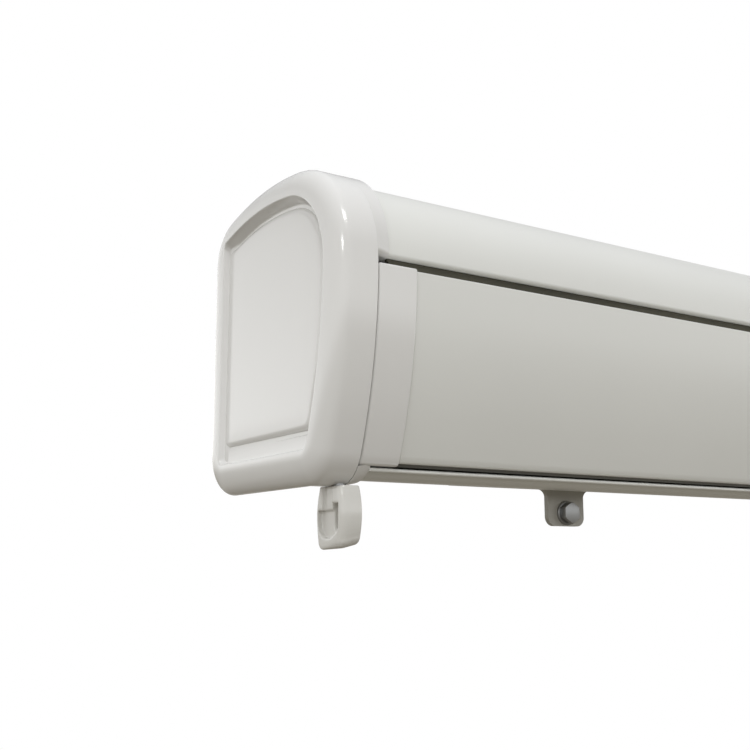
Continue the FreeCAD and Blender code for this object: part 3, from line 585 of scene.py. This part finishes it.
# crank eye, about its own spindle; y and z are in millimetres from the spindle and the cap's bottom
eyeLook = {
    "x": (-937.0, -926.9), "spindleY": -113.4,
    "top": -0.1, "drop": 27.5, "neckHalf": 8.8, "bellyHalf": 11.4, "footHalf": 10.0, "corner": 4.0,
    "belly": 0.52,  # how far down the eye is widest, as a share
    "frontRound": 3.4, "edgeRound": 1.0,  # rounding of the outer side's front edge, and of the others
    "frontStart": 3, "frontFade": 8,
    "footRise": 2.5, "riseStart": -10, "riseFade": 15,  # the foot is cut off at a slope
    "seat": (-6.6, 10.2, -10.5, -22.5, 7.4), "seatDeep": 2.5,  # y, y, top, bottom, corner
    "neck": (-2.1, 6.2), "neckTop": 3, "neckDeep": 1.4,
    "slot": (-7.3, -0.6, -7.7, -20.3, 3.3),
    "voxel": 0.36, "soften": 5,
}


def eyeSide():
    # half of the eye's outline, bowed from the top to the round corner of its foot
    look = eyeLook
    straight, belly = look["drop"] - look["corner"] + look["top"], look["belly"]
    points = []
    for i in range(13):
        share = i / 12
        if share < belly:
            lost = (look["bellyHalf"] - look["neckHalf"]) * (1 - share / belly) ** 2
        else:
            lost = (look["bellyHalf"] - look["footHalf"]) * ((share - belly) / (1 - belly)) ** 2
        points.append(Vector((look["bellyHalf"] - lost, look["top"] - straight * share)))
    foot = points[-1]
    for turn in quarterTurns(8, 1):
        points.append(foot - look["corner"] * Vector((1 - math.cos(turn), math.sin(turn))))
    return points


def makeEye():
    look = eyeLook
    x0, x1 = look["x"]
    side = eyeSide()
    base = side + [Vector((-point.x, point.y)) for point in reversed(side)]

    def eyeRing(turn, face, way, frontRound):
        # turn is 90 degrees on the flat face and 0 on the bowed edge
        ring = []
        for i, point in enumerate(base):
            along = base[min(i + 1, len(base) - 1)] - base[max(i - 1, 0)]
            inward = Vector((-along.y, along.x)).normalized()
            if inward.dot(Vector((0, -look["drop"] / 2)) - point) < 0:
                inward = -inward
            front = min(max((look["frontStart"] - point.x) / look["frontFade"], 0), 1)
            radius = look["edgeRound"] + (frontRound - look["edgeRound"]) * front
            spot = point + inward * radius * (1 - math.cos(turn))
            x = face + way * radius * (1 - math.sin(turn))
            low = min(max((look["riseStart"] - spot.y) / look["riseFade"], 0), 1)
            rise = look["footRise"] * (x - x0) / (x1 - x0) * low
            ring.append(atRest(x, look["spindleY"] + spot.x, spot.y + rise - holeMiddle))
        return ring

    rings = [eyeRing(turn, x0, 1, look["frontRound"]) for turn in reversed(quarterTurns(6))]
    rings += [eyeRing(turn, x1, -1, look["edgeRound"]) for turn in quarterTurns(3)]
    eye = makeRings("crankEye", rings)

    def slotOutline(y0, y1, high, low, corner):
        points = [(y1, high), (y0, high)]
        for i in range(17):
            turn = math.pi + math.pi * i / 16
            middle = y0 + corner if i < 8 else (y0 + y1) / 2 if i == 8 else y1 - corner
            points.append((middle + corner * math.cos(turn), low + corner + corner * math.sin(turn)))
        return [(look["spindleY"] + y, z - holeMiddle) for y, z in points]

    seat = makePlate("seatCutter", slotOutline(*look["seat"]), x0 - 2, x0 + look["seatDeep"])
    combine(eye, "DIFFERENCE", seat)
    neckLow, neckHigh = (look["spindleY"] + y for y in look["neck"])
    seatTop = look["seat"][2] - 1 - holeMiddle
    above = look["neckTop"] - holeMiddle
    neck = [(neckLow, above), (neckHigh, above), (neckHigh, seatTop), (neckLow, seatTop)]
    combine(eye, "DIFFERENCE", makePlate("neckCutter", neck, x0 - 2, x0 + look["neckDeep"]))
    combine(eye, "DIFFERENCE", makePlate("slotCutter", slotOutline(*look["slot"]), x0 - 3, x1 + 3))
    applyModifier(eye, "REMESH", mode="VOXEL", voxel_size=look["voxel"] / 1000)
    applyModifier(eye, "SMOOTH", factor=0.5, iterations=look["soften"])
    settle(eye, 60)
    dress(eye, "crank", "crank_eye")


makeEye()
print("crank eye is made")

# clamp bolts: hexagon head with a flange, in millimetres
boltLook = {
    "flats": 10, "head": 4.0, "flange": 6.5, "flangeThick": 1.2, "shank": 2.95, "reach": 10, "sunk": 0.2,
    "spots": (-775.5, 775.5), "y": -86, "z": -81.9,
    "turned": 0.575, "turnedEdge": 0.5,  # radius that trims the head's corners, as a share of the flats
    "flangeEdge": 0.7, "headEdge": 0.22, "shankEdge": 0.6,
}


def makeBolt(name, x):
    look = boltLook
    y, z = look["y"], look["z"]
    thick = look["flangeThick"]
    flange = makeRod(name + "Flange", (x, y - thick / 2, z), look["flange"], thick, 64)
    startEdit(flange)
    pickEdges(flange, lambda a, b: max(a.y, b.y) < (y - 0.9) / 1000 and abs(a.y - b.y) < 1e-6)
    bpy.ops.mesh.bevel(offset=look["flangeEdge"] / 1000, segments=4, affect="EDGES")
    endEdit()
    headFront = y - thick - look["head"]
    middle = (x, (headFront + y - thick) / 2, z)
    corner = look["flats"] / math.sqrt(3)
    spots = [(corner * math.sin(math.pi / 3 * i), corner * math.cos(math.pi / 3 * i)) for i in range(6)]
    head = makeRings(name + "Head", [[atRest(x + across, depth, z + up) for across, up in spots]
                                     for depth in (headFront, y - thick)])
    turned = makeRod(name + "Turned", middle, look["flats"] * look["turned"], look["head"] + 0.001, 64)
    startEdit(turned)
    pickEdges(turned, lambda a, b: max(a.y, b.y) < (headFront + 0.1) / 1000)
    bpy.ops.mesh.bevel(offset=look["turnedEdge"] / 1000, segments=3, affect="EDGES")
    endEdit()
    combine(head, "INTERSECT", turned)
    applyModifier(head, "BEVEL", width=look["headEdge"] / 1000, segments=2, limit_method="ANGLE",
                  angle_limit=math.radians(40))
    shankMiddle = (x, y + look["reach"] / 2 - look["sunk"], z)
    shank = makeRod(name + "Shank", shankMiddle, look["shank"], look["reach"], 40)
    startEdit(shank)
    pickEdges(shank, lambda a, b: min(a.y, b.y) > (y + look["reach"] - 0.5) / 1000)
    bpy.ops.mesh.bevel(offset=look["shankEdge"] / 1000, segments=2, affect="EDGES")
    endEdit()
    return [flange, head, shank]


boltParts = [makeBolt(f"bolt{i}", x) for i, x in enumerate(boltLook["spots"])]
bolts = joinPieces("clampBolts", boltParts[0] + boltParts[1])
settle(bolts, 30)
dress(bolts, "case", "clamp_bolts")
print("clamp bolts are made")

# sheet metal, castings and profiles with their edges broken; widths are in millimetres
edgeLook = {  # those with a left and a right one are named without the side
    "case_floor": 0.4, "case_shell": 0.8, "end_frame": 0.5, "rail_cap": 1.3, "lead_rail_profile": 1.0,
    "wall_bracket": 0.7, "clamp_jaw": 0.5, "upper_arm": 1.6, "forearm": 1.6,
    "shoulder_bracket": 0.8, "wrist_bracket": 0.8,
    "shoulder_knuckle": 1.2, "wrist_knuckle": 1.2, "upper_elbow": 1.2, "fore_elbow": 1.2,
}
frameLook = {  # in millimetres, from the back of the case and the bottom of its caps
    "inner": 922.6, "drop": 2.9, "lip": 98, "crown": 136, "crownRear": -100,
    "noseRear": -130, "lipStep": 4,  # behind the nose, the slope starts this far above the lip
    "middleY": -60, "middleZ": 75,
    "acrossLimit": 0.3, "outwardLimit": 0.25,  # which faces count as the frame's outside
    "footHigh": 8.3, "footRear": -99.9, "footDrop": 1.6,
    "capEnd": 929.6, "seamGap": 0.5,  # the rail's end piece
}
lipLook = {"case_shell": 2.2, "end_frame": 2.8}
edgeSpots = {
    "lipZ": 23, "lipY": -137.5,  # the shell's front lip
    "seam": 930,  # where the frames meet the caps
    "beadLow": -69.2, "beadOut": 1.3, "beadThick": 0.9,
    "sharp": 38,  # edges that turn more than this are broken, in degrees
}
bodyOf = {nodeName: node.parent.name.split(":")[-1] for nodeName, node in nodes.items()}


def slantFrame(piece):
    # the frame's inner edge drops to the shell's surface at the front and bottom, as far up as the crown
    look = frameLook
    mesh = bmesh.from_edit_mesh(piece.data)
    moves = []
    for vertex in mesh.verts:
        x, y, z = (1000 * value for value in vertex.co)
        y, z = y + wallGap, z + holeMiddle
        foot = z < look["footHigh"] and y < look["footRear"]
        crown = z > look["lip"] - 0.1 and y < look["crownRear"]
        crown = crown and (y < look["noseRear"] or z > look["lip"] + look["lipStep"])
        if abs(abs(x) - look["inner"]) > 0.01 or not (foot or crown):
            continue
        outward = Vector((0, y - look["middleY"], z - look["middleZ"])).normalized()
        sides = [face.normal for face in vertex.link_faces if abs(face.normal.x) < look["acrossLimit"]]
        sides = [normal for normal in sides if normal.dot(outward) > look["outwardLimit"]]
        if not sides:
            continue
        rise = min(max((look["crown"] - z) / (look["crown"] - look["lip"]), 0), 1)
        outer = sum(sides, Vector((0, 0, 0))).normalized()
        moves.append((vertex, outer * (look["footDrop"] if foot else look["drop"] * rise) / 1000))
    for vertex, move in moves:
        vertex.co -= move
    bmesh.update_edit_mesh(piece.data)


def narrowRailCap(piece):
    # a wider seam beside the end cap
    mesh = bmesh.from_edit_mesh(piece.data)
    for vertex in mesh.verts:
        if abs(vertex.co.x) > frameLook["capEnd"] / 1000 - 1e-5:
            vertex.co.x -= math.copysign(frameLook["seamGap"] / 1000, vertex.co.x)
    bmesh.update_edit_mesh(piece.data)


def pushBead(piece):
    # the bead along the floor's lip stands out from under the rail
    mesh = bmesh.from_edit_mesh(piece.data)
    bead = min(vertex.co.y for vertex in mesh.verts)
    for vertex in mesh.verts:
        onBead = vertex.co.y < bead + edgeSpots["beadThick"] / 1000
        if onBead and vertex.co.z > edgeSpots["beadLow"] / 1000:
            vertex.co.y -= edgeSpots["beadOut"] / 1000
    bmesh.update_edit_mesh(piece.data)


def pickLip(piece):
    lipZ, lipY = edgeSpots["lipZ"] / 1000, edgeSpots["lipY"] / 1000

    def onLip(a, b):
        level = abs(a.z - lipZ) + abs(b.z - lipZ) < 0.0006
        return level and abs(a.x - b.x) > 1e-3 and max(a.y, b.y) < lipY

    pickEdges(piece, onLip)


def pickSharp(piece):
    bpy.ops.mesh.select_mode(type="EDGE")
    bpy.ops.mesh.select_all(action="DESELECT")
    mesh = bmesh.from_edit_mesh(piece.data)
    seam, leastAngle = edgeSpots["seam"] / 1000, math.radians(edgeSpots["sharp"])
    for edge in mesh.edges:
        onSeam = all(abs(abs(vertex.co.x) - seam) < 1e-5 for vertex in edge.verts)
        sharp = len(edge.link_faces) == 2 and edge.calc_face_angle() > leastAngle
        edge.select_set(sharp and not onSeam)
    bmesh.update_edit_mesh(piece.data)


def softenNode(nodeName, width, lip, reshape):
    # a merged copy of a CAD node with its sharp edges broken; lip is the rounding of its front lip
    words = nodeName.split("_")
    piece = bpy.data.objects.new(words[0] + "".join(word.title() for word in words[1:]),
                                 nodes[nodeName].data.copy())
    bpy.context.collection.objects.link(piece)
    startEdit(piece, everything=True)
    bpy.ops.mesh.remove_doubles(threshold=0.000002)
    bpy.ops.mesh.dissolve_limited(angle_limit=math.radians(0.3))
    if reshape:
        reshape(piece)
    if lip:
        pickLip(piece)
        bpy.ops.mesh.bevel(offset=lip / 1000, segments=6, affect="EDGES", clamp_overlap=True)
    pickSharp(piece)
    bpy.ops.mesh.bevel(offset=width / 1000, segments=2, affect="EDGES", clamp_overlap=True,
                       miter_outer="ARC")
    endEdit()
    settle(piece, 40)
    applyModifier(piece, "WEIGHTED_NORMAL", keep_sharp=True, weight=80)
    dress(piece, bodyOf[nodeName], nodeName)


reshapes = {"end_frame": slantFrame, "rail_cap": narrowRailCap, "case_floor": pushBead}
for family, edgeWidth in edgeLook.items():
    for side in ("", "_left", "_right"):
        if family + side in nodes:
            softenNode(family + side, edgeWidth, lipLook.get(family, 0), reshapes.get(family))
print("edges are broken on the metal parts")

# brush under the shell's lip; its dark olive fibre, set close behind the lip, fills the gap with painted
# shade
shadeBrushLook = {  # a strip with a row of tufts, in millimetres
    "pitch": 1.1, "thick": 1.0, "count": 1672, "halfDeep": 0.8, "inset": 1,
    "stripHigh": 1.2, "stripEdge": 0.3, "sunk": 1,
    "splay": (1.1, 0.5, 1),  # how the tuft's foot is spread
}


def makeShadeBrush():
    low, high = (corner * 1000 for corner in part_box("lip_brush"))
    look = shadeBrushLook
    strip = makeBlock("lipBrush", (low.x, low.y, high.z - look["stripHigh"]), (high.x, high.y, high.z))
    startEdit(strip)
    pickEdges(strip, lambda a, b: abs(a.x - b.x) > 1)
    bpy.ops.mesh.bevel(offset=look["stripEdge"] / 1000, segments=2, affect="EDGES")
    endEdit()
    middle = (low.y + high.y) / 2
    start = low.x + look["inset"]
    tuft = makeBlock("tuft", (start, middle - look["halfDeep"], low.z),
                     (start + look["thick"], middle + look["halfDeep"], high.z - look["sunk"]))
    startEdit(tuft)
    pickFaces(tuft, lambda centre, normal: normal.z < -0.5)
    centre = atRest(start + look["thick"] / 2, middle, low.z)
    bpy.ops.transform.resize(value=look["splay"], center_override=centre)
    endEdit()
    applyModifier(tuft, "ARRAY", count=look["count"], use_relative_offset=False, use_constant_offset=True,
                  constant_offset_displace=(look["pitch"] / 1000, 0, 0))
    brush = joinPieces("lipBrush", [strip, tuft])
    settle(brush, 30)
    dress(brush, "case", "lip_brush")


makeShadeBrush()
print("brush is made")

# cloth: wound on the roller, out from under it and round the hem bar
clothLook = {
    "half": 872, "rollY": -76, "rollZ": 31, "inner": 25.3, "outer": 30.2, "turns": 8,
    "hemY": -108.6, "hemZ": 12.4, "hemRound": 3.35, "hemWrap": 250,
    "columns": 36, "turnPoints": 40, "runRows": 6, "stretchRows": 70, "wrapRows": 18, "thick": 0.35,
    "start": 30.7, "end": 34.0,  # the stretch that draws out, from the roller's middle
}


def clothPath():
    look = clothLook
    hem = Vector((look["hemY"] - look["rollY"], look["hemZ"] - look["rollZ"]))
    toHem = math.atan2(hem.y, hem.x)
    # the bar is wrapped on its lower side, so the straight run is tangent to roll and bar alike
    slope = math.acos((look["outer"] - look["hemRound"]) / hem.length)
    leave = toHem + slope
    count = look["turns"] * look["turnPoints"]
    path = []
    for i in range(count + 1):
        share = i / count
        radius = look["inner"] + (look["outer"] - look["inner"]) * share
        turn = leave + math.tau * look["turns"] * (1 - share)
        path.append(Vector((math.cos(turn), math.sin(turn))) * radius)
    touch = hem + Vector((math.cos(leave), math.sin(leave))) * look["hemRound"]
    first = path[-1]
    ahead = hem.normalized()
    reach = [first.dot(ahead), touch.dot(ahead)]
    marks = [first.lerp(touch, i / look["runRows"]) for i in range(1, look["runRows"])]
    for i in range(look["stretchRows"] + 1):
        want = look["start"] + (look["end"] - look["start"]) * i / look["stretchRows"]
        marks.append(first.lerp(touch, (want - reach[0]) / (reach[1] - reach[0])))
    marks.append(touch)
    marks.sort(key=lambda point: (point - first).length)
    path += [point for i, point in enumerate(marks) if i == 0 or (point - marks[i - 1]).length > 1e-5]
    for i in range(1, look["wrapRows"] + 1):
        turn = leave - math.radians(look["hemWrap"]) * i / look["wrapRows"]
        path.append(hem + Vector((math.cos(turn), math.sin(turn))) * look["hemRound"])
    return path, ahead


def makeCloth():
    look = clothLook
    path, ahead = clothPath()
    deselectAll()
    bpy.ops.mesh.primitive_grid_add(x_subdivisions=look["columns"], y_subdivisions=len(path) - 1, size=2)
    cloth = bpy.context.object
    cloth.name = "awningCloth"
    columns = look["columns"] + 1
    for i, vertex in enumerate(cloth.data.vertices):
        column, row = i % columns, i // columns
        across = -look["half"] + 2 * look["half"] * column / look["columns"]
        vertex.co = atRest(across, look["rollY"] + path[row].x, look["rollZ"] + path[row].y)
    applyModifier(cloth, "SOLIDIFY", thickness=look["thick"] / 1000, offset=0)
    settle(cloth, 60)
    dress(cloth, None, "fabric_roll")
    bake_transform(cloth)


makeCloth()
